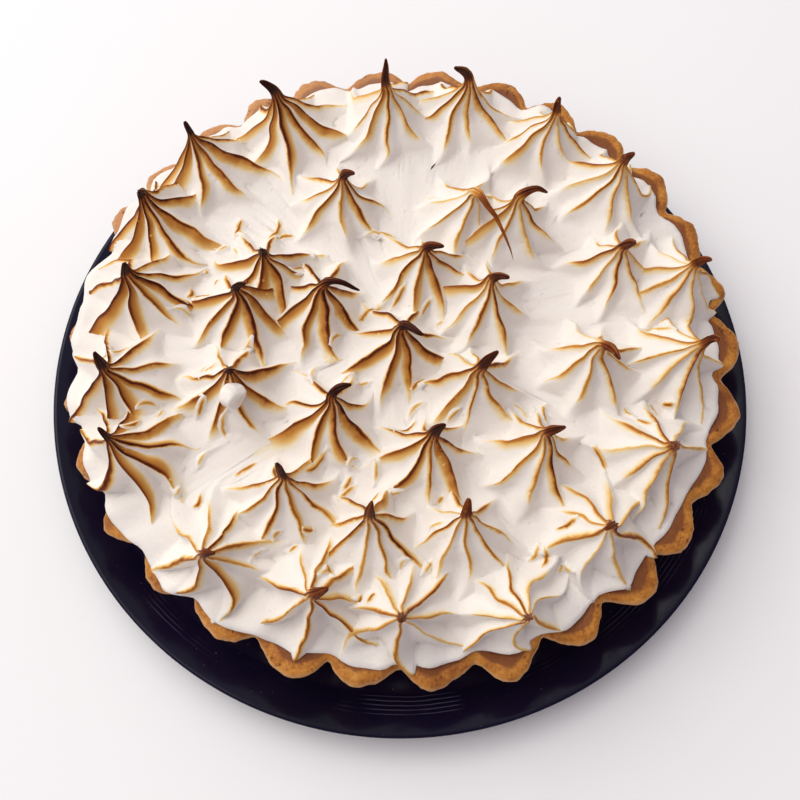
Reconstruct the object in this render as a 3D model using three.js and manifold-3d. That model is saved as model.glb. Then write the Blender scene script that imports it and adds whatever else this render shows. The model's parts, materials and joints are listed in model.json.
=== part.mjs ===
// Lemon meringue tart on its plate: a fluted pastry shell, filled to the brim and uncut, under
// thirty-seven peaks of meringue piped with a star nozzle and torched at their tips.
// Millimetres, +Z up, +X right and +Y to the back. The origin is the centre of the plate's foot,
// on the surface that the plate stands on.

import * as THREE from "three";
import { mergeVertices } from "three/addons/utils/BufferGeometryUtils.js";
import Module from "manifold-3d";

const wasm = await Module();
wasm.setup();

const degree = Math.PI / 180;

// Plate: a shallow coupe with a flat well, a small step and a turned-up rim.
const plateRadius = 135;
const plateHeight = 14;
const plateThickness = 6;
const wellRadius = 119;
const stepRadius = 124;
const stepRise = 3;
const footRadius = 88;
const footWidth = 6;
const footRecess = 2;
const plateSides = 60;

// Gap between pieces that touch.
const seat = 0.3;

// Pastry shell: its wall and its top edge wave in and out together, as its fluted tin did.
const tartCentre = new THREE.Vector2(1.5, 4.5);
const fluteCount = 30;
const fluteStart = -1;
const fluteDepth = 4.3;
const fluteSteps = 6;
const shellHeight = 25;
const shellTopRadius = 120.8;
const shellBaseRadius = 111;
const shellEdgeWidth = 8;
const fillingRadius = 109;
const fillingDrop = 2.2;

// Meringue: a spread bed that reaches over the pastry's inner edge, and the piped peaks on it.
const bedThickness = 6.5;
const bedRadius = 116;
const bedWave = 2;
const bedSpill = 7;
const spillBearing = 190;
const spillWidth = 55;
const bedSides = 60;
const ribCount = 8;
const footReach = 27;
const footSink = 2;
const coneHeight = 19;
const neckRadius = 2.3;
const grooveDepth = 0.34;
const rimDrift = 6;
const innerDrift = 2.5;
const backDrift = 3.5;
const curlRadius = 4.6;
const curlReach = 66;
const curlBearing = 205;
const curlRise = 13.5;

const shellBase = footRecess + plateThickness + seat;
const shellTop = shellBase + shellHeight;
const fillingTop = shellTop - fillingDrop;
const bedTop = fillingTop + bedThickness;

// The peaks stand in three rings round one in the middle. Each row is one peak: its bearing and its
// distance from the tart's centre, the length of its drawn-out tip, how far that tip curls over, the
// bearing that it curls towards, and the bearing of its first rib. Lengths are in mm and angles in
// degrees.
const rimRing = [
  [94, 98, 17, 8, 90, 6],
  [117, 105, 14, 55, 190, 0],
  [137, 111, 9, 15, 110, 4],
  [153, 109, 6, 30, 270, 35],
  [170, 100, 9, 15, 45, 29],
  [190, 106, 10, 20, 80, 24],
  [205, 109, 9, 40, 140, 43],
  [232, 106, 12, 60, -10, 16],
  [253, 102, 13, 60, 15, 37],
  [270, 104, 10, 20, 250, 40],
  [290, 110, 10, 15, 270, 10],
  [312, 101, 13, 50, 215, 21],
  [332, 101, 11, 30, 235, 40],
  [354, 103, 12, 45, -35, 2],
  [371, 107, 12, 40, -50, 21],
  [398, 103, 13, 35, -40, 3],
  [416, 104, 10, 10, 0, 34],
  [436, 104, 13, 55, 190, 13],
];
const middleRing = [
  [112, 61, 12, 60, -25, 40],
  [154, 57, 7, 30, -70, 33],
  [170, 60, 11, 50, -15, 33],
  [199, 64, 3, 10, -60, 25],
  [235, 71, 12, 25, 90, 26],
  [261, 73, 13, 30, 70, 23],
  [286, 74, 10, 50, 90, 3],
  [317, 65, 14, 50, 10, 29],
  [351, 70, 12, 110, -50, 24],
  [379, 84, 11, 35, -75, 41],
  [409, 63, 17, 125, 10, 25],
  [424, 57, 38, 112, -60, 26],
];
const innerRing = [
  [155, 32, 20, 130, -15, 17],
  [73, 28, 12, 65, -25, 32],
  [25, 34, 12, 70, -20, 34],
  [-35, 32, 13, 50, 20, 39],
  [-79, 45, 12, 50, 20, 8],
  [-130, 39, 13, 95, 20, 19],
];
const centrePeak = [-90, 4, 14, 95, -35, 20];

// A profile of [radius, height] turned round the Z axis into one closed geometry, from its lowest
// point on the axis to its highest. The reshape function then moves each point, and takes and
// returns its radius, its bearing and its height. The first seam is at the bearing "start".
function turned(profile, sides, start = 0, reshape = null) {
  const points = profile.map(([radius, height]) => new THREE.Vector2(radius, height));
  const lathe = new THREE.LatheGeometry(points, sides, (start + 90) * degree);
  lathe.rotateX(90 * degree);
  lathe.deleteAttribute("normal");
  lathe.deleteAttribute("uv");
  const merged = mergeVertices(lathe, 1e-4);
  const corners = Array.from(merged.index.array);
  const kept = [];
  for (let i = 0; i < corners.length; i += 3) {
    const [a, b, c] = corners.slice(i, i + 3);
    if (a !== b && b !== c && c !== a) {
      kept.push(a, b, c);
    }
  }
  merged.setIndex(kept);
  const place = merged.attributes.position;
  if (reshape) {
    for (let i = 0; i < place.count; i += 1) {
      const radius = Math.hypot(place.getX(i), place.getY(i));
      const bearing = Math.atan2(place.getY(i), place.getX(i));
      const moved = reshape(radius, bearing, place.getZ(i));
      place.setXYZ(i, moved.x, moved.y, moved.z);
    }
  }
  return merged;
}

function atBearing(radius, bearing, height) {
  return new THREE.Vector3(radius * Math.cos(bearing), radius * Math.sin(bearing), height);
}

function toSolid(geometry) {
  const vertProperties = new Float32Array(geometry.attributes.position.array);
  const triVerts = new Uint32Array(geometry.index.array);
  return new wasm.Manifold(new wasm.Mesh({ numProp: 3, vertProperties, triVerts }));
}

function toGeometry(solid) {
  const mesh = solid.getMesh();
  const geometry = new THREE.BufferGeometry();
  geometry.setAttribute("position", new THREE.BufferAttribute(mesh.vertProperties, 3));
  geometry.setIndex(new THREE.BufferAttribute(mesh.triVerts, 1));
  return geometry;
}

function piece(name, geometry, finish) {
  geometry.computeVertexNormals();
  const mesh = new THREE.Mesh(geometry, new THREE.MeshStandardMaterial(finish));
  mesh.name = name;
  return mesh;
}

// The plate is one turned solid: underside and foot first, then the edge, rim, step and well.
function plateGeometry() {
  const wellFloor = footRecess + plateThickness;
  const profile = [
    [0, footRecess],
    [footRadius - footWidth - footRecess, footRecess],
    [footRadius - footWidth, 0],
    [footRadius, 0],
    [footRadius + footRecess, footRecess],
    [stepRadius - 4, wellFloor - plateThickness / 2],
    [plateRadius - 1, plateHeight - 2.4],
    [plateRadius, plateHeight - 1],
    [plateRadius - 1.5, plateHeight],
    [stepRadius + 2, wellFloor + stepRise],
    [stepRadius, wellFloor + stepRise - 0.8],
    [wellRadius, wellFloor],
    [0, wellFloor],
  ];
  return turned(profile, plateSides);
}

// How far the flutes stand out at a bearing, from -1 in a groove to 1 on a lobe.
function flute(bearing) {
  return Math.cos(fluteCount * (bearing - fluteStart * degree));
}

// How far the bed has spilled outward over the pastry at a bearing.
function spill(bearing) {
  const away = Math.abs(((bearing / degree - spillBearing + 540) % 360) - 180);
  return bedSpill * Math.exp(-((away / spillWidth) ** 2));
}

// The pastry shell with its filling, as one solid. The flutes fade out towards the flat base, and
// the inner side of the top edge waves less than the outer side.
function crustGeometry() {
  const innerRadius = shellTopRadius - shellEdgeWidth;
  const profile = [
    [0, shellBase],
    [shellBaseRadius - 3, shellBase],
    [shellBaseRadius + 1, shellBase + 2.5],
    [shellTopRadius - 3, shellBase + 0.66 * shellHeight],
    [shellTopRadius, shellTop - 2.2],
    [shellTopRadius - 2, shellTop - 0.2],
    [innerRadius + 1.5, shellTop],
    [fillingRadius, fillingTop],
    [0, fillingTop],
  ];
  const waves = new Map([
    [shellBaseRadius - 3, 0.3],
    [shellBaseRadius + 1, 0.6],
    [shellTopRadius - 3, 0.95],
    [shellTopRadius, 1],
    [shellTopRadius - 2, 1],
    [innerRadius + 1.5, 0.6],
  ]);
  return turned(profile, fluteCount * fluteSteps, fluteStart, (radius, bearing, height) => {
    let share = 0;
    for (const [ringRadius, wave] of waves) {
      if (Math.abs(ringRadius - radius) < 0.01) {
        share = wave;
      }
    }
    return atBearing(radius + share * fluteDepth * flute(bearing), bearing, height);
  });
}

// A small unevenness, the same on every run, for rib number "rib" of peak number "peak".
function uneven(peak, rib) {
  return Math.sin(7.3 * peak + 2.1 * rib) * 0.6 + Math.sin(3.7 * peak - 4.9 * rib) * 0.4;
}

// Where a peak's centre line runs: straight up through its cone, then over in an arc that ends at
// the angle "curl", and on in a straight line. Returns the place and the lean at a distance along it.
function alongPeak(distance, curl, tip) {
  const beyond = distance - coneHeight;
  if (beyond <= 0 || curl === 0) {
    return { side: 0, up: distance, lean: 0 };
  }
  const bendLength = Math.min(0.8 * tip, 12);
  const turn = (curl * degree) / bendLength;
  const bent = Math.min(beyond, bendLength);
  const lean = turn * bent;
  const straight = beyond - bent;
  return {
    side: (1 - Math.cos(lean)) / turn + straight * Math.sin(lean),
    up: coneHeight + Math.sin(lean) / turn + straight * Math.cos(lean),
    lean,
  };
}

// One star-piped peak: a broad ribbed foot that draws up to a thin neck, and its tip. The neck has
// drifted from the middle of the foot, outward in the rim ring, and towards the tip and the back
// elsewhere. A peak near the rim is pressed in on its outer side, so that its foot ends with the bed.
function peakGeometry(number, row) {
  const [bearingDegrees, neckReach, tip, curl, towards, firstRib] = row;
  const bearing = bearingDegrees * degree;
  const inRimRing = number < rimRing.length;
  const drift = inRimRing
    ? atBearing(rimDrift, bearing, 0)
    : atBearing(innerDrift, towards * degree, 0).add(new THREE.Vector3(0, backDrift, 0));
  const foot = atBearing(neckReach, bearing, bedTop - footSink).sub(drift);
  const reach = Math.hypot(foot.x, foot.y);
  const bendAxis = new THREE.Vector3(
    -Math.sin(towards * degree), Math.cos(towards * degree), 0);
  const neckShare = neckRadius / footReach;
  const edge = bedRadius + spill(bearing) + 1;
  const outerShare = Math.min((edge - reach) / footReach, 1);
  const tipRings = curl < 40 ? [[0.05, 0.6]] : [[0.075, 0.42], [0.045, 0.82]];
  const profile = [
    [0, -1.6],
    [footReach, -1.6],
    [footReach * 0.72, 4],
    [footReach * 0.37, 10],
    [footReach * neckShare, coneHeight],
    ...tipRings.map(([share, along]) => [footReach * share, coneHeight + along * tip]),
    [0, coneHeight + tip],
  ];
  return turned(profile, 2 * ribCount, 0, (radius, angle, height) => {
    const step = Math.round((angle / Math.PI) * ribCount + 2 * ribCount) % (2 * ribCount);
    const onRib = step % 2 === 0;
    const facing = angle + firstRib * degree - bearing;
    const isOuter = inRimRing && Math.cos(facing) > 0.2;
    const ribReach = Math.max(1 + 0.18 * uneven(number, step), isOuter ? 1.1 : 0);
    const spread = onRib ? ribReach : 1 - grooveDepth;
    const local = atBearing(radius * spread, angle + firstRib * degree, 0);
    const outward = local.x * Math.cos(bearing) + local.y * Math.sin(bearing);
    if (outward > 0) {
      const pressed = outward * (1 - outerShare);
      local.x -= pressed * Math.cos(bearing);
      local.y -= pressed * Math.sin(bearing);
    }
    const spine = alongPeak(height, curl, tip);
    local.applyAxisAngle(bendAxis, spine.lean);
    local.x += spine.side * Math.cos(towards * degree);
    local.y += spine.side * Math.sin(towards * degree);
    local.z += spine.up;
    const risen = Math.min(Math.max(height / coneHeight, 0), 1);
    local.addScaledVector(drift, risen * risen * (3 - 2 * risen));
    return local.add(foot);
  });
}

// The spread bed under the peaks. Its edge waves with the pastry's flutes and lies over the
// pastry's inner edge, and its underside fits the hollow above the filling.
function bedGeometry() {
  const underEdge = shellTop + seat + 0.2;
  const profile = [
    [0, fillingTop + seat],
    [fillingRadius - 1.2, fillingTop + seat],
    [shellTopRadius - shellEdgeWidth - 1.6, underEdge],
    [bedRadius - 0.8, underEdge + 0.1],
    [bedRadius, underEdge + 1.5],
    [bedRadius - 18, underEdge + 2.6],
    [bedRadius - 28, bedTop],
    [0, bedTop],
  ];
  return turned(profile, bedSides, fluteStart, (radius, bearing, height) => {
    const share = Math.min(Math.max((radius - fillingRadius) / (bedRadius - fillingRadius), 0), 1);
    const outer = share * (bedWave * flute(bearing) + spill(bearing));
    return atBearing(radius + outer, bearing, height);
  });
}

// One peak's tip has rolled over into a ball, which stands against the peak's front.
function curlGeometry() {
  const profile = [
    [0, -curlRadius],
    [curlRadius * 0.71, -curlRadius * 0.71],
    [curlRadius, 0],
    [curlRadius * 0.71, curlRadius * 0.71],
    [0, curlRadius],
  ];
  const centre = atBearing(curlReach, curlBearing * degree, bedTop + curlRise);
  return turned(profile, 10, 0, (radius, bearing, height) => {
    return atBearing(radius, bearing, height).add(centre);
  });
}

function meringueGeometry() {
  const solids = [toSolid(bedGeometry()), toSolid(curlGeometry())];
  const peaks = [...rimRing, ...middleRing, ...innerRing, centrePeak];
  peaks.forEach((row, number) => solids.push(toSolid(peakGeometry(number, row))));
  const fused = solids.reduce((whole, solid) => whole.add(solid));
  return toGeometry(fused);
}

const plate = piece("plate", plateGeometry(), { color: 0x14142a, roughness: 0.18, metalness: 0 });
const crust = piece("crust", crustGeometry(), { color: 0xc07a38, roughness: 0.75, metalness: 0 });
const meringue = piece("meringue", meringueGeometry(), { color: 0xf2ece2, roughness: 0.5, metalness: 0 });

crust.position.set(tartCentre.x, tartCentre.y, 0);
meringue.position.set(tartCentre.x, tartCentre.y, 0);

const group = new THREE.Group();
group.add(plate, crust, meringue);

export default group;
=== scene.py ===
# A lemon meringue pie on its dark plate: fluted shortcrust, a spread bed of meringue, and
# thirty-seven piped peaks with torched ridges. Shapes are made in millimetres and scaled to metres.

import json
import math

import bmesh
import bpy
from mathutils import Matrix, Vector, noise
from mathutils.bvhtree import BVHTree

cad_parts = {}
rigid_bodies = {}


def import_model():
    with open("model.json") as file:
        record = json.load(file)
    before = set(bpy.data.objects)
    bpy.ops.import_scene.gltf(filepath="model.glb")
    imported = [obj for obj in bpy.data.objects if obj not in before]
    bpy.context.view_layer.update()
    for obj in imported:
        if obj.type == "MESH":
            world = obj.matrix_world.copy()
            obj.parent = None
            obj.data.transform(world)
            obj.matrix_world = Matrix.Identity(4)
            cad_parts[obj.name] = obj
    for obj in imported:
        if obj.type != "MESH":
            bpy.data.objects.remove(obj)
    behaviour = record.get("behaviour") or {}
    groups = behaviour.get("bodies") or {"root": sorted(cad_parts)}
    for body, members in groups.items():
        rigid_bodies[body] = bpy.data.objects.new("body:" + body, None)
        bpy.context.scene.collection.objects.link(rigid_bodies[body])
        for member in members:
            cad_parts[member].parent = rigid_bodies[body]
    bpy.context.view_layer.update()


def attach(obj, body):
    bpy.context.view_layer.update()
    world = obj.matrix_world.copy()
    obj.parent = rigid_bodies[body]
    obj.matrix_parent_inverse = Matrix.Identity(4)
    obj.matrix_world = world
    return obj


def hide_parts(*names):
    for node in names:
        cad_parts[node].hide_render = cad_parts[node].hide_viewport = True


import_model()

# The camera looks down on the pie from its front, close enough that the near rim spreads wide and
# the far peaks lean away. Its lens gives the photograph's square frame.
view_elevation = math.radians(70)
view_distance = 0.375
view_target = Vector((0.0, -0.0065, 0.0))
view_back = Vector((0.0, -math.cos(view_elevation), math.sin(view_elevation)))
camera_data = bpy.data.cameras.new("camera")
camera_data.sensor_width = 36.0
camera_data.lens = 41.85
camera_data.clip_start = 0.01
camera = bpy.data.objects.new("camera", camera_data)
camera.location = view_target + view_distance * view_back
camera.rotation_euler = (-view_back).to_track_quat("-Z", "Y").to_euler()
bpy.context.scene.collection.objects.link(camera)
bpy.context.scene.camera = camera
bpy.context.scene.view_settings.view_transform = "Standard"


# The studio: one broad soft light high at the back left, a weaker one at the left, and a surround
# that is warm at the back left and dim and cooler at the front right.
def soft_light(name, place, size, power, colour):
    """A round soft lamp that faces the pie."""
    data = bpy.data.lights.new(name, "AREA")
    data.shape = "DISK"
    data.size = size
    data.energy = power
    data.color = colour
    lamp = bpy.data.objects.new(name, data)
    lamp.location = place
    lamp.rotation_euler = Vector(place).to_track_quat("Z", "Y").to_euler()
    bpy.context.scene.collection.objects.link(lamp)


def add_node(tree, kind, inputs=None, **settings):
    """A node with its settings, and each input joined to a socket or set to a value."""
    made = tree.nodes.new(kind)
    for key, value in settings.items():
        setattr(made, key, value)
    for key, value in (inputs or {}).items():
        if isinstance(value, bpy.types.NodeSocket):
            tree.links.new(value, made.inputs[key])
        else:
            made.inputs[key].default_value = value
    return made


def colour_ramp(tree, factor, stops):
    """A colour that follows a factor through stops of (position, colour)."""
    made = add_node(tree, "ShaderNodeValToRGB", {"Fac": factor})
    elements = made.color_ramp.elements
    while len(elements) < len(stops):
        elements.new(0.5)
    for element, (position, colour) in zip(elements, stops):
        element.position = position
        element.color = (*colour, 1.0)
    return made.outputs["Color"]


soft_light("key_light", (-0.75, 0.85, 1.1), 1.4, 8.8, (1.0, 0.985, 0.97))
soft_light("fill_light", (-0.9, 0.1, 1.3), 1.5, 7.2, (1.0, 0.98, 0.965))

bright_side = (-0.55, 0.5, 0.67)
surround = bpy.data.worlds.new("surround")
surround.use_nodes = True
sky = surround.node_tree
sky_place = add_node(sky, "ShaderNodeTexCoord").outputs["Generated"]
sky_inputs = {0: sky_place, 1: bright_side}
toward_bright = add_node(sky, "ShaderNodeVectorMath", sky_inputs, operation="DOT_PRODUCT")
sky_stops = [(0.0, (0.25, 0.215, 0.27)), (1.0, (1.02, 0.985, 0.94))]
sky_tone = colour_ramp(sky, toward_bright.outputs["Value"], sky_stops)
backdrop = sky.nodes["Background"]
backdrop.inputs["Strength"].default_value = 1.0
sky.links.new(sky_tone, backdrop.inputs["Color"])
bpy.context.scene.world = surround

# The floor: one wide flat sheet of pale matt card with a faint mottle, on which the plate stands.
# It belongs to the picture and not to the part.
floor_half_width = 4000.0
mm = 0.001


def new_material(name):
    """A material with its node tree and its shader."""
    material = bpy.data.materials.new(name)
    material.use_nodes = True
    tree = material.node_tree
    return material, tree, tree.nodes["Principled BSDF"]


def shared_effect(name, value_names, output):
    """An empty node group, with the place and the values that it takes and the value that it gives."""
    group = bpy.data.node_groups.new(name, "ShaderNodeTree")
    group.interface.new_socket(name="Place", in_out="INPUT", socket_type="NodeSocketVector")
    for value_name in value_names:
        group.interface.new_socket(name=value_name, in_out="INPUT", socket_type="NodeSocketFloat")
    group.interface.new_socket(name=output, in_out="OUTPUT", socket_type="NodeSocketFloat")
    return group, add_node(group, "NodeGroupInput").outputs, add_node(group, "NodeGroupOutput").inputs


# Grain is in every material here: an uneven value from 0 to 1 over the piece's own coordinates.
grain_effect, taken, given = shared_effect("grain", ("Scale", "Detail", "Roughness"), "Grain")
grain_noise = add_node(grain_effect, "ShaderNodeTexNoise", {
    "Vector": taken["Place"],
    "Scale": taken["Scale"],
    "Detail": taken["Detail"],
    "Roughness": taken["Roughness"],
})
grain_effect.links.new(grain_noise.outputs["Fac"], given["Grain"])


def grain(tree, scale, detail=3.0, rough=0.5):
    """The grain effect in one material."""
    place = add_node(tree, "ShaderNodeTexCoord").outputs["Object"]
    inputs = {"Place": place, "Scale": scale, "Detail": detail, "Roughness": rough}
    return add_node(tree, "ShaderNodeGroup", inputs, node_tree=grain_effect).outputs["Grain"]


def add_piece(name, bm, material):
    """A smooth-shaded object from a bmesh in millimetres, at the origin."""
    bmesh.ops.scale(bm, vec=(mm, mm, mm), verts=bm.verts)
    mesh = bpy.data.meshes.new(name)
    bm.to_mesh(mesh)
    bm.free()
    for polygon in mesh.polygons:
        polygon.use_smooth = True
    mesh.materials.append(material)
    made = bpy.data.objects.new(name, mesh)
    bpy.context.scene.collection.objects.link(made)
    return made


card, tree, shader = new_material("floor")
card_tone = colour_ramp(tree, grain(tree, 3.0), [(0.0, (0.90, 0.90, 0.91)), (1.0, (0.93, 0.93, 0.94))])
tree.links.new(card_tone, shader.inputs["Base Color"])
shader.inputs["Roughness"].default_value = 0.9
bm = bmesh.new()
bmesh.ops.create_grid(bm, x_segments=1, y_segments=1, size=floor_half_width)
floor = add_piece("floor", bm, card)

# The plate: one round piece of glazed stoneware in dark navy, with a flat well, a small step and a
# turned-up rim. Use has left fine scuff rings round the step.
plate_radius = 135.0
plate_height = 14.0
plate_thickness = 6.0
well_radius = 119.0
step_radius = 124.0
step_rise = 3.0
foot_radius = 88.0
foot_width = 6.0
foot_recess = 2.0
well_floor = foot_recess + plate_thickness
plate_profile = [
    (0.0, foot_recess),
    (foot_radius - foot_width - foot_recess, foot_recess),
    (foot_radius - foot_width, 0.0),
    (foot_radius, 0.0),
    (foot_radius + foot_recess, foot_recess),
    (step_radius - 4, well_floor - plate_thickness / 2),
    (plate_radius - 1, plate_height - 2.4),
    (plate_radius, plate_height - 1),
    (plate_radius - 0.5, plate_height - 0.2),
    (plate_radius - 1.5, plate_height),
    (step_radius + 2, well_floor + step_rise),
    (step_radius, well_floor + step_rise - 0.8),
    (well_radius + 1, well_floor + 0.2),
    (well_radius - 2, well_floor),
    (0.0, well_floor),
]


def calc(tree, operation, *values):
    """One step of arithmetic on values that change over a surface."""
    return add_node(tree, "ShaderNodeMath", dict(enumerate(values)), operation=operation).outputs[0]


def fade(tree, value, low, high, to_low=0.0, to_high=1.0):
    """A soft change from one end value to the other while a value goes from low to high."""
    inputs = {"Value": value, "From Min": low, "From Max": high, "To Min": to_low, "To Max": to_high}
    made = add_node(tree, "ShaderNodeMapRange", inputs, interpolation_type="SMOOTHSTEP")
    return made.outputs["Result"]


def mix_colour(tree, share, tone, mixed_in):
    """A tone with a share of a plain colour mixed into it."""
    inputs = {0: share, 6: tone, 7: (*mixed_in, 1.0)}
    return add_node(tree, "ShaderNodeMix", inputs, data_type="RGBA").outputs[2]


def bump(tree, shader, height, depth):
    """Fine relief in a surface's shading, of a depth in metres."""
    made = add_node(tree, "ShaderNodeBump", {"Height": height, "Distance": depth})
    tree.links.new(made.outputs["Normal"], shader.inputs["Normal"])


def spun(profile, steps):
    """A closed solid turned round Z from points (radius, height), lowest first."""
    bm = bmesh.new()
    points = [bm.verts.new((radius, 0.0, height)) for radius, height in profile]
    lines = [bm.edges.new(pair) for pair in zip(points, points[1:])]
    bmesh.ops.spin(bm, geom=points + lines, cent=(0, 0, 0), axis=(0, 0, 1), angle=math.tau,
                   steps=steps, use_merge=True, use_duplicate=False)
    bmesh.ops.remove_doubles(bm, verts=bm.verts, dist=1e-4)
    bmesh.ops.recalc_face_normals(bm, faces=bm.faces)
    return bm


# The glaze's scuff rings are a fine wave on the distance from the plate's axis, a ring every 1.5 mm,
# near its step only and in patches.
ring_wave = 4200.0
well_side = mm * (step_radius - 4.5)
rim_side = mm * (step_radius + 4.5)
band_half = mm * 2.0
step_place = mm * step_radius
glaze, tree, shader = new_material("navy_glaze")
place = add_node(tree, "ShaderNodeTexCoord").outputs["Object"]
place_parts = add_node(tree, "ShaderNodeSeparateXYZ", {"Vector": place}).outputs
flat_place = add_node(tree, "ShaderNodeCombineXYZ", {"X": place_parts["X"], "Y": place_parts["Y"]})
from_axis = add_node(tree, "ShaderNodeVectorMath", {0: flat_place.outputs[0]}, operation="LENGTH")
from_axis = from_axis.outputs["Value"]
ring_wobble = calc(tree, "MULTIPLY_ADD", grain(tree, 60.0), 0.0012, from_axis)
ring_lines = calc(tree, "SINE", calc(tree, "MULTIPLY", ring_wobble, ring_wave))
past_well = fade(tree, from_axis, well_side, step_place - band_half)
before_rim = fade(tree, from_axis, rim_side, step_place + band_half)
near_step = calc(tree, "MULTIPLY", past_well, before_rim)
patchy = fade(tree, grain(tree, 28.0), 0.52, 0.68)
scuffs = calc(tree, "MULTIPLY", calc(tree, "MULTIPLY", fade(tree, ring_lines, 0.55, 1.0), near_step), patchy)
specks = fade(tree, grain(tree, 900.0, 1.0), 0.76, 0.8)
marks = calc(tree, "MAXIMUM", calc(tree, "MULTIPLY", scuffs, 0.6), calc(tree, "MULTIPLY", specks, 0.35))
navy = colour_ramp(tree, grain(tree, 9.0), [(0.3, (0.0035, 0.003, 0.013)), (0.75, (0.007, 0.0055, 0.026))])
tree.links.new(mix_colour(tree, marks, navy, (0.10, 0.095, 0.15)), shader.inputs["Base Color"])
tree.links.new(fade(tree, marks, 0.0, 0.7, 0.16, 0.45), shader.inputs["Roughness"])
shader.inputs["Specular IOR Level"].default_value = 0.17
bump(tree, shader, grain(tree, 40.0, 4.0), 0.0004)

bm = spun(plate_profile, 240)
sharp_rims = [edge for edge in bm.edges if edge.calc_face_angle(0.0) > 0.2]
bmesh.ops.bevel(bm, geom=sharp_rims, offset=0.5, offset_type="OFFSET", segments=2, profile=0.5,
                affect="EDGES", material=-1)
plate = add_piece("glazed_plate", bm, glaze)
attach(plate, "root")
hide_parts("plate")

# The crust: shortcrust pastry baked in a fluted tin and filled to the brim. Its wall and top edge
# wave together, thirty times round, and the top is rounded by hand and a little uneven.
tart_x = 1.5
tart_y = 4.5
flute_count = 30
flute_start = math.radians(-1)
flute_depth = 4.3
shell_base = well_floor + 0.3
shell_height = 25.0
shell_top = shell_base + shell_height
shell_top_radius = 120.8
shell_base_radius = 111.0
shell_edge = 8.0
filling_radius = 109.0
filling_top = shell_top - 2.2


def flute(bearing):
    """How far the flutes stand out at a bearing: round lobes with narrow grooves between them."""
    half_turn = math.cos(flute_count * (bearing - flute_start) / 2)
    return 2 * (half_turn * half_turn + 0.02) ** 0.42 - 1


# Each row is a ring of the shell: its radius, its height and its share of the flutes' depth.
inner_edge = shell_top_radius - shell_edge
shell_rings = [
    (0.0, shell_base, 0.0),
    (shell_base_radius - 6, shell_base, 0.2),
    (shell_base_radius - 1, shell_base + 0.4, 0.4),
    (shell_base_radius + 1, shell_base + 2.5, 0.6),
    (shell_base_radius + 2.8, shell_base + 6.5, 0.78),
    (shell_base_radius + 4.6, shell_base + 11.5, 0.9),
    (shell_top_radius - 3.0, shell_base + 16.5, 0.95),
    (shell_top_radius - 1.2, shell_base + 20.5, 1.0),
    (shell_top_radius - 0.2, shell_top - 2.6, 1.0),
    (shell_top_radius, shell_top - 1.7, 1.0),
    (shell_top_radius - 0.5, shell_top - 0.8, 1.0),
    (shell_top_radius - 1.3, shell_top - 0.3, 1.0),
    (shell_top_radius - 2.6, shell_top, 0.97),
    (shell_top_radius - 4.2, shell_top + 0.15, 0.95),
    (inner_edge + 2.2, shell_top + 0.1, 0.88),
    (inner_edge + 0.4, shell_top - 0.3, 0.8),
    (inner_edge - 1.4, shell_top - 1.2, 0.6),
    (filling_radius, filling_top, 0.1),
    (0.0, filling_top, 0.0),
]


def shell_point(point, share):
    """Waves, lifts and roughens one point of the spun shell, then sets it under the meringue."""
    radius = math.hypot(point.x, point.y)
    if radius < 1.0:
        return Vector((point.x + tart_x, point.y + tart_y, point.z))
    bearing = math.atan2(point.y, point.x)
    round_it = Vector((math.cos(bearing), math.sin(bearing), 0))
    lobe = 1.08 + 0.55 * noise.noise(round_it * 6 + Vector((0, 0, 1.7)))
    shifted = bearing + 0.035 * noise.noise(round_it * 6 + Vector((0, 0, 4.1)))
    radius += share * flute_depth * flute(shifted) * lobe
    spot = Vector((radius * math.cos(bearing), radius * math.sin(bearing), point.z))
    rough = noise.fractal(spot * 0.22, 0.8, 2.2, 3) * 0.7 * min(share + 0.1, 1)
    slump = noise.noise(round_it * 3 + Vector((0, 0, 8)))
    lift = 0.7 * slump * max(0.0, (point.z - shell_base) / shell_height) ** 2 if share > 0.4 else 0.0
    radius += rough
    return Vector((radius * math.cos(bearing) + tart_x, radius * math.sin(bearing) + tart_y,
                   point.z + lift + 0.5 * rough * (share > 0.4)))


# Small pits are in the pastry and in the meringue: round cells over the piece's own coordinates,
# each a pit from its edge to its floor, and only where the patches are.
pit_effect, taken, given = shared_effect("pits", ("Scale", "Edge", "Floor", "Patches"), "Pits")
pit_cells = add_node(pit_effect, "ShaderNodeTexVoronoi", {
    "Vector": taken["Place"],
    "Scale": taken["Scale"],
}, feature="F1")
pit_depth = fade(pit_effect, pit_cells.outputs["Distance"], taken["Edge"], taken["Floor"])
pits_in_patches = calc(pit_effect, "MULTIPLY", pit_depth, taken["Patches"])
pit_effect.links.new(pits_in_patches, given["Pits"])


def pits(tree, scale, edge, floor, patches):
    """The pits effect in one material."""
    place = add_node(tree, "ShaderNodeTexCoord").outputs["Object"]
    inputs = {"Place": place, "Scale": scale, "Edge": edge, "Floor": floor, "Patches": patches}
    return add_node(tree, "ShaderNodeGroup", inputs, node_tree=pit_effect).outputs["Pits"]


# The UV map band marks the pastry's outer lip (X), given a painted highlight, and its inner edge (Y), given
# painted shade.
pastry, tree, shader = new_material("shortcrust")
lump = grain(tree, 90.0, 6.0, 0.65)
crumb_grain = grain(tree, 900.0, 3.0, 0.6)
baked = calc(tree, "MULTIPLY_ADD", crumb_grain, 0.35, calc(tree, "MULTIPLY", lump, 0.8))
crust_tone = colour_ramp(tree, baked, [
    (0.36, (0.17, 0.042, 0.006)),
    (0.51, (0.36, 0.118, 0.014)),
    (0.63, (0.54, 0.21, 0.027)),
    (0.78, (0.67, 0.315, 0.065)),
])
band_map = add_node(tree, "ShaderNodeUVMap", uv_map="band").outputs["UV"]
band = add_node(tree, "ShaderNodeSeparateXYZ", {"Vector": band_map}).outputs
# Painted highlight: a pale line along the rounded outer lip of the pastry.
lip_painted_highlight = fade(tree, band["X"], 0.45, 0.95)
crust_tone = mix_colour(tree, calc(tree, "MULTIPLY", lip_painted_highlight, 0.55), crust_tone, (0.70, 0.41, 0.18))
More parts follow.
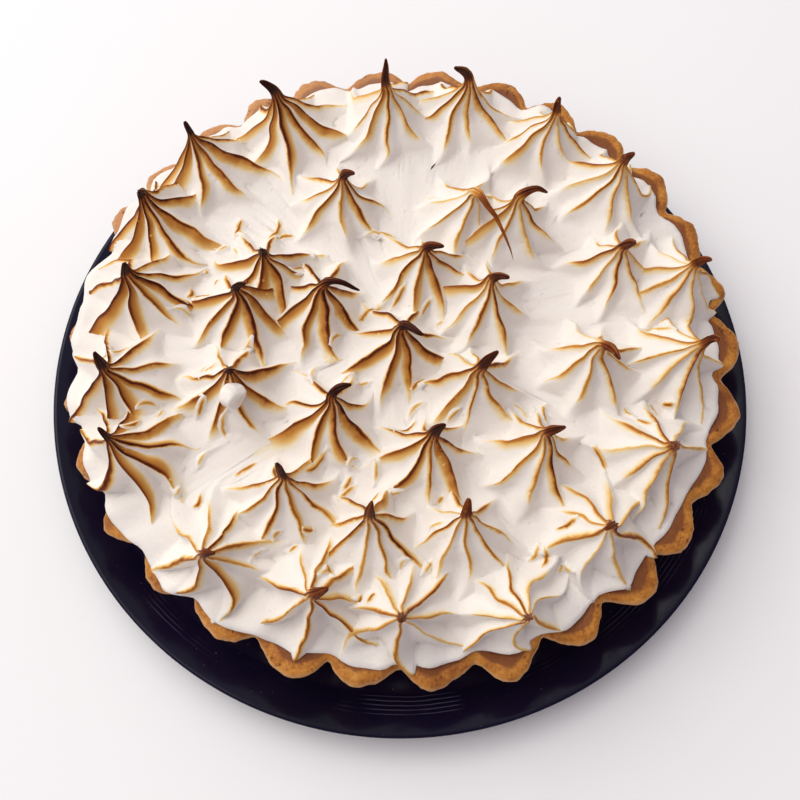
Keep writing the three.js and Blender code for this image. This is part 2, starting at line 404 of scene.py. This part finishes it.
# Painted shade: a dark ragged line along the pastry's inner edge, where the meringue overhangs it.
band_wobble = calc(tree, "SUBTRACT", grain(tree, 260.0, 4.0), 0.5)
edge_painted_shade = fade(tree, calc(tree, "MULTIPLY_ADD", band_wobble, 0.9, band["Y"]), 0.2, 0.68)
crust_tone = mix_colour(tree, calc(tree, "MULTIPLY", edge_painted_shade, 0.85), crust_tone, (0.17, 0.042, 0.008))
# Painted light: the pastry is made paler towards the back left, the side that the key light falls on.
place = add_node(tree, "ShaderNodeTexCoord").outputs["Object"]
place_parts = add_node(tree, "ShaderNodeSeparateXYZ", {"Vector": place}).outputs
toward_key_side = calc(tree, "MULTIPLY_ADD", place_parts["X"], -0.75, calc(tree, "MULTIPLY", place_parts["Y"], 0.66))
lit_side_painted_light = calc(tree, "MULTIPLY", fade(tree, toward_key_side, 0.03, 0.13), 0.45)
crust_tone = mix_colour(tree, lit_side_painted_light, crust_tone, (0.60, 0.33, 0.19))
pores = pits(tree, 420.0, 0.34, 0.08, fade(tree, grain(tree, 130.0), 0.5, 0.62))
crust_tone = mix_colour(tree, calc(tree, "MULTIPLY", pores, 0.5), crust_tone, (0.24, 0.08, 0.018))
tree.links.new(crust_tone, shader.inputs["Base Color"])
shader.inputs["Roughness"].default_value = 0.62
shader.inputs["Specular IOR Level"].default_value = 0.35
crust_relief = calc(tree, "SUBTRACT", calc(tree, "MULTIPLY_ADD", crumb_grain, 0.5, lump), pores)
bump(tree, shader, crust_relief, 0.0006)

bm = spun([(radius, height) for radius, height, share in shell_rings], flute_count * 24)
band_layer = bm.loops.layers.uv.new("band")
share_of = {}
for vert in bm.verts:
    radius = math.hypot(vert.co.x, vert.co.y)
    nearest = min(shell_rings, key=lambda ring: abs(ring[0] - radius) + abs(ring[1] - vert.co.z))
    share_of[vert] = nearest[2]
for face in bm.faces:
    for loop in face.loops:
        spot = loop.vert.co
        radius = math.hypot(spot.x, spot.y)
        high = spot.z > shell_top - 3.0
        lip = 1 - abs(radius - shell_top_radius) / 2.5 if high else 0.0
        inner = 1 - (radius - inner_edge - 2.2) / 2.5 if high and radius > filling_radius - 1 else 0.0
        loop[band_layer].uv = (max(lip, 0.0), min(max(inner, 0.0), 1.0))
for vert in bm.verts:
    vert.co = shell_point(vert.co, share_of[vert])
crust = add_piece("fluted_crust", bm, pastry)
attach(crust, "root")
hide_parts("crust")

# The meringue: whipped egg white and sugar, spread over the filling to the pastry's edge and then
# piped on with an eight-pointed star nozzle. Each peak has a ribbed foot that draws up to a neck
# and a tip that leans or curls over. All of it is fused into one piece.
bed_thickness = 6.5
bed_radius = 116.0
bed_wave = 2.0
bed_top = filling_top + bed_thickness

# The bed comes out furthest at spill_bearing, and past fall_start the peaks' feet sink with it.
spill_bearing = 190
spill_width = 55
spill_reach = 7.0
ragged_reach = 2.0
fall_start = 96
fall_depth = 1.7

# A peak's foot stands off from under its neck by its drift: outwards at the rim, and elsewhere the
# way that the tip leans and to the back.
rib_count = 8
foot_reach = 27.0
foot_sink = 2.0
foot_base = -1.6
cone_height = 19.0
neck_radius = 2.2
groove_depth = 0.36
rim_drift = 6.0
inner_drift = 2.5
backward_drift = 3.5
longest_bend = 12.0
steps_per_rib = 10
cone_rows = 22
tip_rows = 10

# Each row is one peak: its bearing and its distance from the tart's centre, the length of its tip,
# how far the tip curls over, the bearing that it curls towards, the bearing of its first rib, the
# bearing that the torch came from, and how widely it browned, from 0 to 1. Lengths are in mm and
# angles in degrees.
rim_ring = [
    (94, 98, 17, 8, 90, 6, 265, 0.45),
    (117, 105, 14, 55, 190, 0, 280, 0.8),
    (137, 111, 9, 15, 110, 4, 280, 0.8),
    (153, 109, 6, 30, 270, 35, 287, 1.0),
    (170, 100, 9, 15, 45, 29, 300, 0.8),
    (190, 106, 10, 20, 80, 24, 310, 0.8),
    (205, 109, 9, 40, 140, 43, 0, 0.9),
    (232, 106, 12, 60, -10, 16, 0, 0.45),
    (253, 102, 13, 60, 15, 37, 30, 0.4),
    (270, 104, 10, 20, 250, 40, 60, 0.3),
    (290, 110, 10, 15, 270, 10, 90, 0.3),
    (312, 101, 13, 50, 215, 21, 120, 0.3),
    (332, 101, 11, 30, 235, 40, 180, 0.3),
    (354, 103, 12, 45, -35, 2, 200, 0.3),
    (371, 107, 12, 40, -50, 21, 220, 0.3),
    (398, 103, 13, 35, -40, 3, 240, 0.3),
    (416, 104, 10, 10, 0, 34, 250, 0.35),
    (436, 104, 13, 55, 190, 13, 260, 0.45),
]
middle_ring = [
    (112, 61, 12, 60, -25, 40, 270, 0.5),
    (154, 57, 7, 30, -70, 33, 270, 0.9),
    (170, 60, 11, 50, -15, 33, 280, 0.8),
    (199, 64, 3, 10, -60, 25, 300, 0.7),
    (235, 71, 12, 25, 90, 26, 0, 0.5),
    (261, 73, 13, 30, 70, 23, 20, 0.5),
    (286, 74, 10, 50, 90, 3, 40, 0.4),
    (317, 65, 14, 50, 10, 29, 250, 0.45),
    (351, 70, 12, 110, -50, 24, 250, 0.35),
    (379, 84, 11, 35, -75, 41, 250, 0.35),
    (409, 63, 17, 125, 10, 25, 260, 0.35),
    (424, 57, 38, 112, -60, 26, 260, 0.2),
]
inner_ring = [
    (155, 32, 20, 130, -15, 17, 270, 1.0),
    (73, 28, 12, 65, -25, 32, 265, 0.6),
    (25, 34, 12, 70, -20, 34, 260, 0.45),
    (-35, 32, 13, 50, 20, 39, 260, 0.45),
    (-79, 45, 12, 50, 20, 8, 270, 0.6),
    (-130, 39, 13, 95, 20, 19, 270, 0.8),
]
centre_peak = [(-90, 4, 14, 95, -35, 20, 260, 0.9)]

# Each row is one small ridge: the two ends of its crest in mm from the tart's centre.
flicks = [
    (-66, 41, -63, 51), (-59, 41, -63, 51), (-73, 35, -66, 38), (-66, 38, -62, 32),
    (-75, 28, -74, 25), (-81, 14, -80, 20), (-80, 14, -70, 15), (-71, 18, -69, 23),
    (-88, 9, -78, 6), (-73, 83, -66, 88), (-106, -10, -98, -4), (-111, -12, -108, -6),
    (-103, -38, -97, -33), (-96, -30, -87, -28), (-87, -28, -88, -37), (-73, -51, -69, -43),
    (-80, -61, -78, -56), (-74, -64, -71, -58), (-60, -54, -50, -47), (-75, -33, -70, -25),
    (-64, -42, -63, -29), (-73, -24, -70, -16), (-69, -16, -62, -12), (-58, -10, -53, -3),
    (-53, 40, -49, 51), (-50, 40, -41, 42), (-20, 41, -1, 39), (-36, 32, -28, 33),
    (8, 53, 15, 57), (-46, 25, -39, 30), (-18, 6, -6, 14), (-8, 10, -1, 20),
    (-27, -6, -22, 1), (-33, -21, -30, -11), (-24, -23, -19, -17), (-20, -20, -13, -17),
    (-5, -38, 5, -31), (2, -22, 9, -16), (0, -35, 9, -25), (12, -35, 19, -29),
    (36, -25, 45, -35), (52, -25, 52, -36), (-35, -53, -26, -43), (-22, -59, -18, -52),
    (-23, -65, -16, -58), (-20, -52, -15, -47), (-11, -58, -10, -46), (-6, -60, 1, -59),
    (-11, -65, -7, -60), (-37, -73, -32, -72), (-47, -77, -43, -73), (-40, -81, -35, -78),
    (-52, -85, -46, -79), (-33, -94, -30, -89), (-30, -89, -27, -94), (-17, -101, -14, -96),
    (-14, -100, -11, -95), (0, -87, 4, -81), (5, -89, 10, -82), (8, -72, 16, -71),
    (41, -83, 46, -76), (51, -72, 59, -68), (12, -64, 14, -60), (3, 5, 9, 15),
    (12, 2, 16, 6), (78, -26, 82, -33), (82, -33, 88, -37), (88, -25, 92, -32),
    (92, -26, 97, -27), (93, 3, 101, 4), (86, 2, 101, -3), (52, -87, 54, -83),
    (54, -83, 58, -87), (45, -86, 47, -77), (69, -42, 75, -53),
]


def uneven(peak, rib):
    """The same small unevenness on every run, for one rib of one peak."""
    return 0.6 * math.sin(7.3 * peak + 2.1 * rib) + 0.4 * math.sin(3.7 * peak - 4.9 * rib)


def spill(bearing):
    """How far the bed comes out at a bearing: furthest on the left, and unevenly."""
    from_left = abs((math.degrees(bearing) - spill_bearing + 540) % 360 - 180)
    round_it = Vector((math.cos(bearing), math.sin(bearing), 0))
    ragged = noise.noise(round_it * 4.5 + Vector((0, 0, 21)))
    return spill_reach * math.exp(-((from_left / spill_width) ** 2)) + ragged_reach * ragged


def along_peak(distance, curl, tip):
    """How far aside and up a peak's centre line has come, and how far it leans, at a distance."""
    beyond = distance - cone_height
    if beyond <= 0 or curl == 0:
        return 0.0, distance, 0.0
    bend_length = min(0.8 * tip, longest_bend)
    turn = math.radians(curl) / bend_length
    bent = min(beyond, bend_length)
    lean = turn * bent
    straight = beyond - bent
    side = (1 - math.cos(lean)) / turn + straight * math.sin(lean)
    up = cone_height + math.sin(lean) / turn + straight * math.cos(lean)
    return side, up, lean


def peak_profile(tip):
    """A peak before its ribs: a wide concave foot, drawn up to a neck and out to a point."""
    rows = [(0.0, foot_base), (foot_reach, foot_base)]
    for row in range(cone_rows + 1):
        share = (row / cone_rows) ** 1.15
        rows.append((neck_radius + (foot_reach - neck_radius) * (1 - share) ** 1.5, cone_height * share))
    for row in range(1, tip_rows + 1):
        share = row / tip_rows
        rows.append((neck_radius * (1 - share) ** max(0.5, tip / 28), cone_height + tip * share))
    return rows


def mark_browning(bm, number, row):
    """Two UV maps: each corner's place across and up its rib, and its line's and flank's browning."""
    bearing, reach, tip, curl, towards, first_rib, torch, browned = row
    bearing, first_rib, torch = math.radians(bearing), math.radians(first_rib), math.radians(torch)
    pitch = math.tau / rib_count
    rib_layer = bm.loops.layers.uv.new("rib")
    heat_layer = bm.loops.layers.uv.new("heat")
    for face in bm.faces:
        middle = face.calc_center_median()
        rib = round(math.atan2(middle.y, middle.x) / pitch)
        facing = first_rib + rib * pitch
        toward_torch = math.sin(torch - facing)
        lit = 0.6 + 0.4 * math.cos(torch - facing) + 0.25 * uneven(number, rib + 3)
        wide = browned * min(max(lit, 0.1), 1.15) * (0.55 + 0.45 * abs(toward_torch))
        line = 0.32 + 0.62 * browned + 0.22 * uneven(number + 5, rib)
        outer = 0.42 * max(0.0, math.cos(facing - bearing)) if number < len(rim_ring) else 0.0
        for loop in face.loops:
            spot = loop.vert.co
            radius = math.hypot(spot.x, spot.y)
            off = 0.0
            if radius > 0.01:
                off = (math.atan2(spot.y, spot.x) - rib * pitch + math.pi) % math.tau - math.pi
            off = math.copysign(abs(2 * off / pitch) ** 1.5, off) * pitch / 2
            rise = spot.z / cone_height if spot.z < cone_height else 1 + (spot.z - cone_height) / tip
            rise += outer * max(0.0, 1 - rise)
            loop[rib_layer].uv = (radius * off, rise)
            loop[heat_layer].uv = (line, math.copysign(wide, toward_torch))


def pipe_peak(number, row):
    """One piped peak: ribs that swing and hook at the foot, and a tip that leans or curls over."""
    bearing, reach, tip, curl, towards, first_rib, torch, browned = row
    bearing, towards, first_rib = math.radians(bearing), math.radians(towards), math.radians(first_rib)
    pitch = math.tau / rib_count
    bm = spun(peak_profile(tip), rib_count * steps_per_rib)
    mark_browning(bm, number, row)
    outward = Vector((math.cos(bearing), math.sin(bearing), 0))
    lean_way = Vector((math.cos(towards), math.sin(towards), 0))
    lean_axis = Vector((-math.sin(towards), math.cos(towards), 0))
    in_rim_ring = number < len(rim_ring)
    drift = outward * rim_drift
    if not in_rim_ring:
        drift = lean_way * inner_drift + Vector((0, backward_drift, 0))
    foot = outward * reach - drift + Vector((0, 0, bed_top - foot_sink))
    edge = bed_radius + 1 + spill(bearing) - math.hypot(foot.x, foot.y)
    for vert in bm.verts:
        radius = math.hypot(vert.co.x, vert.co.y)
        height = vert.co.z
        angle = math.atan2(vert.co.y, vert.co.x)
        rib = round(angle / pitch)
        off = 2 * (angle - rib * pitch) / pitch
        across = abs(off) ** 1.5
        share = min(max(height / cone_height, 0), 1)
        crest = 1 + 0.18 * uneven(number, 2 * (rib % rib_count))
        if in_rim_ring and math.cos(first_rib + rib * pitch - bearing) > 0.2:
            crest = max(crest, 1.1)
        groove = 1 - groove_depth
        spread = groove + (crest - groove) * (1 - across) ** 1.5
        turned = first_rib + rib * pitch + math.copysign(across, off) * pitch / 2
        swing = 0.25 * (1 - share) ** 1.5 * uneven(number + 11, rib % rib_count)
        hook = 0.5 * max(0.0, 1 - 3 * share) ** 2 * uneven(number + 23, 3 * (rib % rib_count))
        turned += (swing + hook) * (1 - across) + 0.25 * (1 - share) ** 2 * uneven(number, 40)
        local = Vector((radius * spread * math.cos(turned), radius * spread * math.sin(turned), 0))
        reach_out = local.dot(outward)
        if reach_out > 0:
            limit = (edge - 2 + 4 * (1 - across) * (0.8 + 0.3 * uneven(number, rib + 9))) / foot_reach
            local -= outward * reach_out * (1 - min(limit, 1))
        from_centre = math.hypot(foot.x + local.x, foot.y + local.y)
        fall = min(max((from_centre - fall_start) / (bed_radius - fall_start), 0), 1)
        sunk = fall_depth * fall * fall * (3 - 2 * fall) * (1 - share)
        side, up, lean = along_peak(height, curl, tip)
        local = Matrix.Rotation(lean, 3, lean_axis) @ local
        local += drift * share * share * (3 - 2 * share)
        vert.co = foot + local + lean_way * side + Vector((tart_x, tart_y, up - sunk))
        if from_centre > inner_edge - 4:
            vert.co.z = max(vert.co.z, shell_top + (0.5 if height >= 0 else 0.0))
    return bm


# A small ridge's section from its crest outwards, in shares of its half width and its height, and
# then below the surface in mm.
flick_steps = 12
flick_section = [(0.0, 1.0), (0.22, 0.68), (0.55, 0.2), (1.0, -0.8), (0.0, -2.4)]
flick_section += [(-out, rise) for out, rise in flick_section[3:0:-1]]
above_all = 120.0
down = Vector((0, 0, -1))


def flick_solid(surface, on_rib, number, row):
    """A small sharp ridge laid on the fused surface between two points of the plan."""
    start_x, start_y, end_x, end_y = row
    start = Vector((start_x + tart_x, start_y + tart_y, 0))
    end = Vector((end_x + tart_x, end_y + tart_y, 0))
    side = Vector((start.y - end.y, end.x - start.x, 0))
    bend = 0.3 * uneven(number, 3)
    bm = bmesh.new()
    rows, off_of = [], {}
    last_height = surface.ray_cast(Vector((start.x, start.y, above_all)), down)[0].z
    for step in range(flick_steps + 1):
        along = step / flick_steps
        swell = math.sin(math.pi * along ** (1 + 0.4 * uneven(number, 9)))
        spot = start.lerp(end, along) + side * bend * swell
        hit, normal, face_index, drop = surface.ray_cast(Vector((spot.x, spot.y, above_all)), down)
        too_steep = hit is None or normal.z < 0.2 or abs(hit.z - last_height) > 3
        if too_steep or 2 < step < flick_steps - 2 and on_rib[face_index]:
            bm.free()
            return None
        last_height = hit.z
        across = (side - normal * side.dot(normal)).normalized()
        high = (0.9 + 0.35 * uneven(number, 5)) * swell
        half = 0.6 + 2.3 * swell
        if step in (0, flick_steps):
            rows.append([bm.verts.new(hit - normal * 0.9)] * len(flick_section))
        else:
            rows.append([bm.verts.new(hit + across * half * out + normal * rise * (high if rise > 0 else 1))
                         for out, rise in flick_section])
            for vert, (out, rise) in zip(rows[-1], flick_section):
                off_of[vert] = (half * out, 0.1 + 0.4 * swell)
    for row_now, row_next in zip(rows, rows[1:]):
        for corner in range(len(flick_section)):
            ring = [row_now[corner], row_now[corner - 1], row_next[corner - 1], row_next[corner]]
            bm.faces.new(list(dict.fromkeys(ring)))
    bmesh.ops.recalc_face_normals(bm, faces=bm.faces)
    bmesh.ops.triangulate(bm, faces=bm.faces)
    rib_layer = bm.loops.layers.uv.new("rib")
    heat_layer = bm.loops.layers.uv.new("heat")
    line = 0.52 + 0.2 * uneven(number, 1)
    wide = max(0.0, 0.35 * uneven(number, 7))
    for face in bm.faces:
        for loop in face.loops:
            loop[rib_layer].uv = off_of.get(loop.vert, (0.0, 0.1))
            loop[heat_layer].uv = (line, wide if loop.vert in off_of else 0.0)
    return bm


def lay_flick(surface, on_rib, number, row):
    """The ridge at its own place or, where a rib is in its way, at the nearest place with room."""
    start_x, start_y, end_x, end_y = row
    for aside in (0.0, 2.0, 4.0, 6.0):
        for eighth in range(8 if aside else 1):
            shift_x = aside * math.cos(eighth * math.tau / 8)
            shift_y = aside * math.sin(eighth * math.tau / 8)
            moved = (start_x + shift_x, start_y + shift_y, end_x + shift_x, end_y + shift_y)
            solid = flick_solid(surface, on_rib, number, moved)
            if solid:
                return solid
    return None


def soft_shift(spot):
    """A smooth uneven shift of a point, the same on every run."""
    return Vector([noise.noise(spot + Vector((0, 0, apart))) for apart in (11.3, 37.7, 71.9)])


def bed_solid():
    """The spread bed: its edge waves with the flutes and reaches over the pastry's inner edge."""
    under_edge = shell_top - 0.1
    profile = [
        (0.0, filling_top + 0.3),
        (filling_radius - 1.2, filling_top + 0.3),
        (inner_edge - 1.6, under_edge),
        (bed_radius - 0.8, under_edge + 0.1),
        (bed_radius - 0.1, under_edge + 0.6),
        (bed_radius - 0.2, under_edge + 1.2),
        (bed_radius - 1.5, under_edge + 1.5),
        (bed_radius - 5, under_edge + 1.7),
        (bed_radius - 10, under_edge + 1.8),
        (bed_radius - 18, under_edge + 2.6),
        (bed_radius - 28, bed_top),
        (0.0, bed_top),
    ]
    bm = spun(profile, 360)
    for layer_name in ("rib", "heat"):
        bm.loops.layers.uv.new(layer_name)
    for vert in bm.verts:
        radius = math.hypot(vert.co.x, vert.co.y)
        bearing = math.atan2(vert.co.y, vert.co.x)
        share = min(max((radius - filling_radius) / (bed_radius - filling_radius), 0), 1)
        radius += share * (bed_wave * flute(bearing) + spill(bearing))
        if radius > 80 and vert.co.z > under_edge + 0.2:
            round_it = Vector((math.cos(bearing), math.sin(bearing), 0))
            fold = noise.noise(round_it * 19 + Vector((0, 0, radius * 0.03)))
            radius += 2.2 * share * fold
            vert.co.z += 2.8 * max(fold, -0.2) * min(max((radius - 85) / 20, 0), 1)
        vert.co.x = radius * math.cos(bearing) + tart_x
        vert.co.y = radius * math.sin(bearing) + tart_y
    return bm


# The torching: a thin dark line on each rib's crest, a wider golden flank on the side that faced the
# torch, and tips that are darkest. UV map rib holds mm across from the crest and the height up the
# cone, and heat holds the strength of the line and, signed by its side, of the flank.
torched, tree, shader = new_material("torched_meringue")
rib_map = add_node(tree, "ShaderNodeUVMap", uv_map="rib").outputs["UV"]
heat_map = add_node(tree, "ShaderNodeUVMap", uv_map="heat").outputs["UV"]
rib_parts = add_node(tree, "ShaderNodeSeparateXYZ", {"Vector": rib_map}).outputs
heat_parts = add_node(tree, "ShaderNodeSeparateXYZ", {"Vector": heat_map}).outputs
flicker = calc(tree, "SUBTRACT", grain(tree, 260.0, 3.0, 0.6), 0.5)
broad = calc(tree, "SUBTRACT", grain(tree, 75.0, 2.0), 0.5)
across = calc(tree, "MULTIPLY_ADD", flicker, 1.2, rib_parts["X"])
along = calc(tree, "MULTIPLY_ADD", broad, 0.25, rib_parts["Y"])
from_crest = calc(tree, "ABSOLUTE", across)
reach_down = fade(tree, along, 0.08, 0.5, 0.75, 0.0)
line_strength = calc(tree, "MAXIMUM", calc(tree, "SUBTRACT", heat_parts["X"], reach_down), 0.0)
line_width = fade(tree, line_strength, 0.0, 0.8, 0.42, 1.48)
crest = fade(tree, calc(tree, "DIVIDE", from_crest, line_width), 1.0, 0.0)
to_neck = fade(tree, along, 0.2, 0.95, 0.85, 1.15)
line_toast = calc(tree, "MULTIPLY", calc(tree, "MULTIPLY", crest, line_strength), to_neck)
core = calc(tree, "MULTIPLY", fade(tree, from_crest, 0.75, 0.05), fade(tree, line_strength, 0.25, 1.0))
to_side = calc(tree, "MULTIPLY", across, calc(tree, "SIGN", heat_parts["Y"]))
flank_heat = calc(tree, "ABSOLUTE", heat_parts["Y"])
flank_reach = calc(tree, "MULTIPLY_ADD", flank_heat, 6.5, 1.0)
flank = fade(tree, calc(tree, "DIVIDE", to_side, flank_reach), 1.0, 0.2)
flank = calc(tree, "MULTIPLY", flank, fade(tree, to_side, -0.5, 0.1))
flank_strength = calc(tree, "SUBTRACT", flank_heat, fade(tree, along, 0.05, 0.42, 0.6, 0.0))
flank_toast = calc(tree, "MULTIPLY", flank, fade(tree, flank_strength, 0.0, 0.6))
flank_toast = calc(tree, "MULTIPLY", flank_toast, 0.46)
tip_toast = calc(tree, "MULTIPLY", fade(tree, along, 0.82, 1.4), fade(tree, flank_heat, 0.0, 0.6, 0.62, 1.0))
room_for_line = calc(tree, "SUBTRACT", 0.68, flank_toast)
toast = calc(tree, "MULTIPLY_ADD", line_toast, room_for_line, flank_toast)
toast = calc(tree, "MAXIMUM", toast, tip_toast)
toast = calc(tree, "MULTIPLY_ADD", core, 0.26, toast)
toast = calc(tree, "MULTIPLY_ADD", calc(tree, "MULTIPLY", flicker, toast), 0.5, toast)
bubbles = pits(tree, 330.0, 0.26, 0.1, fade(tree, grain(tree, 110.0), 0.54, 0.64))
toast = calc(tree, "MULTIPLY", toast, calc(tree, "MULTIPLY_ADD", bubbles, -0.4, 1.0))
toast_colour = colour_ramp(tree, toast, [
    (0.0, (0.85, 0.80, 0.745)),
    (0.10, (0.84, 0.72, 0.49)),
    (0.25, (0.78, 0.50, 0.165)),
    (0.45, (0.54, 0.22, 0.038)),
    (0.64, (0.25, 0.062, 0.009)),
    (0.82, (0.11, 0.02, 0.004)),
    (1.0, (0.028, 0.004, 0.002)),
])
tree.links.new(toast_colour, shader.inputs["Base Color"])
tree.links.new(fade(tree, toast, 0.1, 0.8, 0.5, 0.44), shader.inputs["Roughness"])
shader.inputs["Specular IOR Level"].default_value = 0.14
shader.inputs["Subsurface Weight"].default_value = 0.12
shader.inputs["Subsurface Radius"].default_value = (1.0, 0.8, 0.6)
shader.inputs["Subsurface Scale"].default_value = 0.003
relief = calc(tree, "MULTIPLY_ADD", grain(tree, 700.0, 3.0), 0.35, grain(tree, 120.0, 4.0))
bump(tree, shader, calc(tree, "MULTIPLY_ADD", bubbles, -0.35, relief), 0.0005)


def fuse_into(whole, solids):
    """Unites closed solids with a piece, keeping the UV maps of both."""
    group = bpy.data.collections.new("to_fuse")
    bpy.context.scene.collection.children.link(group)
    for solid in solids:
        part = add_piece("solid", solid, torched)
        bpy.context.scene.collection.objects.unlink(part)
        group.objects.link(part)
    fuse = whole.modifiers.new("fuse", "BOOLEAN")
    fuse.operation = "UNION"
    fuse.operand_type = "COLLECTION"
    fuse.collection = group
    fuse.solver = "MANIFOLD"
    fused = bpy.data.meshes.new_from_object(whole.evaluated_get(bpy.context.evaluated_depsgraph_get()))
    whole.modifiers.clear()
    whole.data = fused
    for part in list(group.objects):
        bpy.data.objects.remove(part)
    bpy.data.collections.remove(group)


meringue = add_piece("piped_meringue", bed_solid(), torched)
peaks = rim_ring + middle_ring + inner_ring + centre_peak
fuse_into(meringue, [pipe_peak(number, row) for number, row in enumerate(peaks)])

# The fused surface is softened and drawn a little out of true, less so at the pastry and the tips.
soft_passes = 3
bm = bmesh.new()
bm.from_mesh(meringue.data)
bmesh.ops.remove_doubles(bm, verts=bm.verts, dist=1e-5)
for softening in range(soft_passes):
    bmesh.ops.smooth_vert(bm, verts=bm.verts, factor=0.4, use_axis_x=True, use_axis_y=True, use_axis_z=True)
for vert in bm.verts:
    spot = vert.co / mm
    drawn = soft_shift(spot * 0.055) * 2.4 + soft_shift(spot * 0.14) * 1.2
    drawn.z *= 0.6
    high = min(max((spot.z - bed_top - 10) / 25, 0), 1)
    low = min(max((spot.z - shell_top - 1) / 4, 0), 1)
    vert.co += drawn * mm * low * (1 - 0.6 * high)
bm.to_mesh(meringue.data)
bm.free()

# The small ridges are laid between the ribs, and the white curl, which has rolled up into an uneven
# ball, against the front of its peak.
surface_points = [vert.co / mm for vert in meringue.data.vertices]
surface_faces = [tuple(polygon.vertices) for polygon in meringue.data.polygons]
surface = BVHTree.FromPolygons(surface_points, surface_faces)
rib_uvs = meringue.data.uv_layers["rib"].data
on_rib = []
for polygon in meringue.data.polygons:
    spots = [rib_uvs[corner].uv for corner in polygon.loop_indices]
    off = min(abs(spot.x) for spot in spots)
    on_rib.append(off < 1.0 and 0.32 < sum(spot.y for spot in spots) / len(spots))
laid = [lay_flick(surface, on_rib, number, row) for number, row in enumerate(flicks)]

curl_radius = 4.6
curl_place = Vector((-58, -23.5, bed_top + 13.5))
curl = bmesh.new()
bmesh.ops.create_icosphere(curl, subdivisions=4, radius=curl_radius, matrix=Matrix.Translation(curl_place))
for layer_name in ("rib", "heat"):
    curl.loops.layers.uv.new(layer_name)
for vert in curl.verts:
    vert.co += soft_shift(vert.co * 0.2) * 1.3 + soft_shift(vert.co * 0.5) * 0.4
    vert.co.z -= 0.12 * (vert.co.z - curl_place.z)
fuse_into(meringue, [curl] + [solid for solid in laid if solid])
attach(meringue, "root")
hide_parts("meringue")
